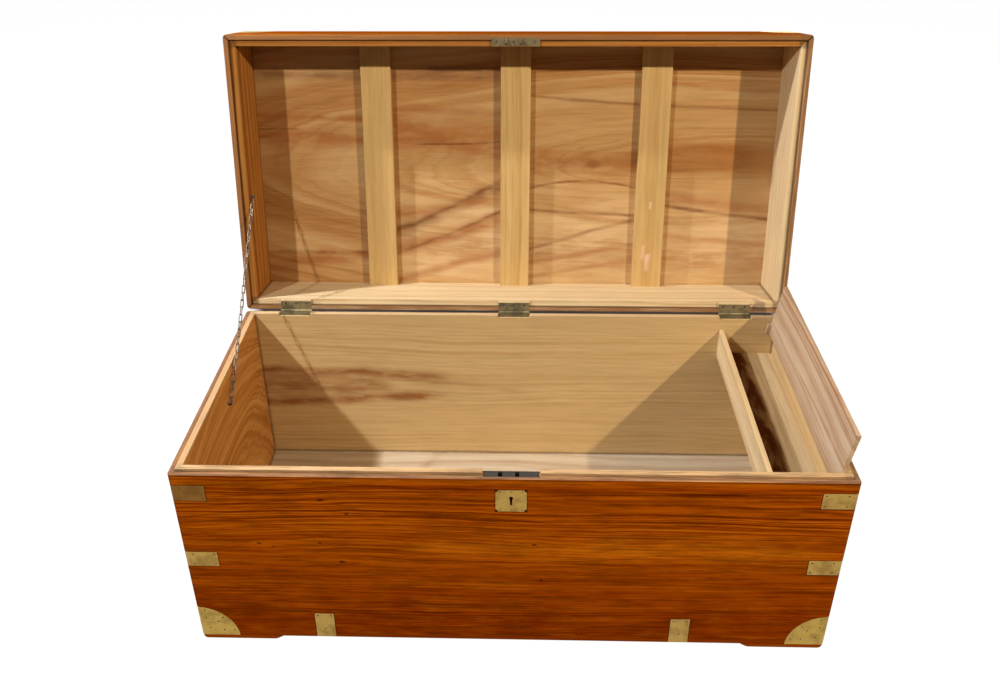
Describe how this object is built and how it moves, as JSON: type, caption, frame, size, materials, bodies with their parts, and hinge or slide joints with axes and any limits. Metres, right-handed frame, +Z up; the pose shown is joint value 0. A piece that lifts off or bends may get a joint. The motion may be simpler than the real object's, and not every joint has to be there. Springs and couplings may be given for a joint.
{
  "type": "blanket chest",
  "caption": "Rectangular wooden blanket chest with flush brass corners, a hinged lid held open by a chain, a chest lock, end handles and a lidded till.",
  "frame": {"origin": "on the floor, under the middle of the whole chest with its lid open", "axes": "+X along the chest to the viewer's right, +Y from the front to the hinged back, +Z up"},
  "size_m": [1.05, 0.7524, 0.8614],
  "materials": {
    "camphor_wood": "polished outside, raw inside",
    "bottom_wood": "raw",
    "foot_wood": "dark stain",
    "batten_wood": "raw",
    "till_wood": "raw",
    "strap_brass": "aged",
    "hinge_brass": "tarnished",
    "pins": "dark",
    "lock_metal": "worn",
    "chain_metal": "dull"
  },
  "bodies": {
    "case": {"back_board": "camphor_wood", "base_fasteners": "pins", "base_hinge_leaf_centre": "hinge_brass", "base_hinge_leaf_left": "hinge_brass", "base_hinge_leaf_right": "hinge_brass", "bottom_edge_straps": "strap_brass", "bottom_plank_back": "bottom_wood", "bottom_plank_front": "bottom_wood", "bottom_plank_middle": "bottom_wood", "chain_staple_base": "chain_metal", "corner_brass_back_left": "strap_brass", "corner_brass_back_right": "strap_brass", "corner_brass_front_left": "strap_brass", "corner_brass_front_right": "strap_brass", "escutcheon": "strap_brass", "foot_back_left": "foot_wood", "foot_back_right": "foot_wood", "foot_front_left": "foot_wood", "foot_front_right": "foot_wood", "front_board": "camphor_wood", "handle_cup_left": "strap_brass", "handle_cup_right": "strap_brass", "hinge_pins": "hinge_brass", "left_end_board": "camphor_wood", "lock_case": "lock_metal", "lock_key_pin": "lock_metal", "lock_plate": "lock_metal", "middle_strap_back_left": "strap_brass", "middle_strap_back_right": "strap_brass", "middle_strap_front_left": "strap_brass", "middle_strap_front_right": "strap_brass", "right_end_board": "camphor_wood", "stay_chain": "chain_metal", "till_bottom": "till_wood", "till_front": "till_wood", "upper_strap_back_left": "strap_brass", "upper_strap_back_right": "strap_brass", "upper_strap_front_left": "strap_brass", "upper_strap_front_right": "strap_brass"},
    "lid": {"chain_staple_lid": "chain_metal", "lid_back_board": "camphor_wood", "lid_batten_centre": "batten_wood", "lid_batten_left": "batten_wood", "lid_batten_right": "batten_wood", "lid_corner_brasses": "strap_brass", "lid_fasteners": "pins", "lid_front_board": "camphor_wood", "lid_hinge_leaf_centre": "hinge_brass", "lid_hinge_leaf_left": "hinge_brass", "lid_hinge_leaf_right": "hinge_brass", "lid_left_board": "camphor_wood", "lid_right_board": "camphor_wood", "lid_top_panel": "camphor_wood", "link_plate": "hinge_brass"},
    "till_lid": {"till_lid": "till_wood"},
    "lock_bolt": {"lock_bolt": "lock_metal"},
    "lock_lever": {"lock_lever": "lock_metal"},
    "handle_bail_right": {"handle_bail_right": "strap_brass"},
    "handle_bail_left": {"handle_bail_left": "strap_brass"}
  },
  "joints": [
    {"name": "lid_hinge", "type": "hinge", "parent": "case", "child": "lid", "pos_m": [0, 0.1408, 0.3542], "axis": [1, 0, 0], "range_deg": [0, 101], "deforming": ["stay_chain"]},
    {"name": "till_lid_hinge", "type": "hinge", "parent": "case", "child": "till_lid", "pos_m": [0.497, -0.11871, 0.3338], "axis": [0, -1, 0], "range_deg": [0, 99.53]},
    {"name": "bail_right_hinge", "type": "hinge", "parent": "case", "child": "handle_bail_right", "pos_m": [0.52, -0.11871, 0.2275], "axis": [0, -1, 0], "range_deg": [0, 90]},
    {"name": "bail_left_hinge", "type": "hinge", "parent": "case", "child": "handle_bail_left", "pos_m": [-0.52, -0.11871, 0.2275], "axis": [0, 1, 0], "range_deg": [0, 90]},
    {"name": "bolt_slide", "type": "slide", "parent": "case", "child": "lock_bolt", "axis": [1, 0, 0], "range_m": [0, 0.008]},
    {"name": "lever_pivot", "type": "hinge", "parent": "case", "child": "lock_lever", "pos_m": [-0.02, -0.36821, 0.3322], "axis": [0, -1, 0], "range_deg": [0, 6], "stiffness_Nm_per_rad": 0.01, "springref_deg": -17.19}
  ],
  "couplings": [
    {"joint": "till_lid_hinge", "follows": "lid_hinge", "ratio": 0.98515}
  ]
}
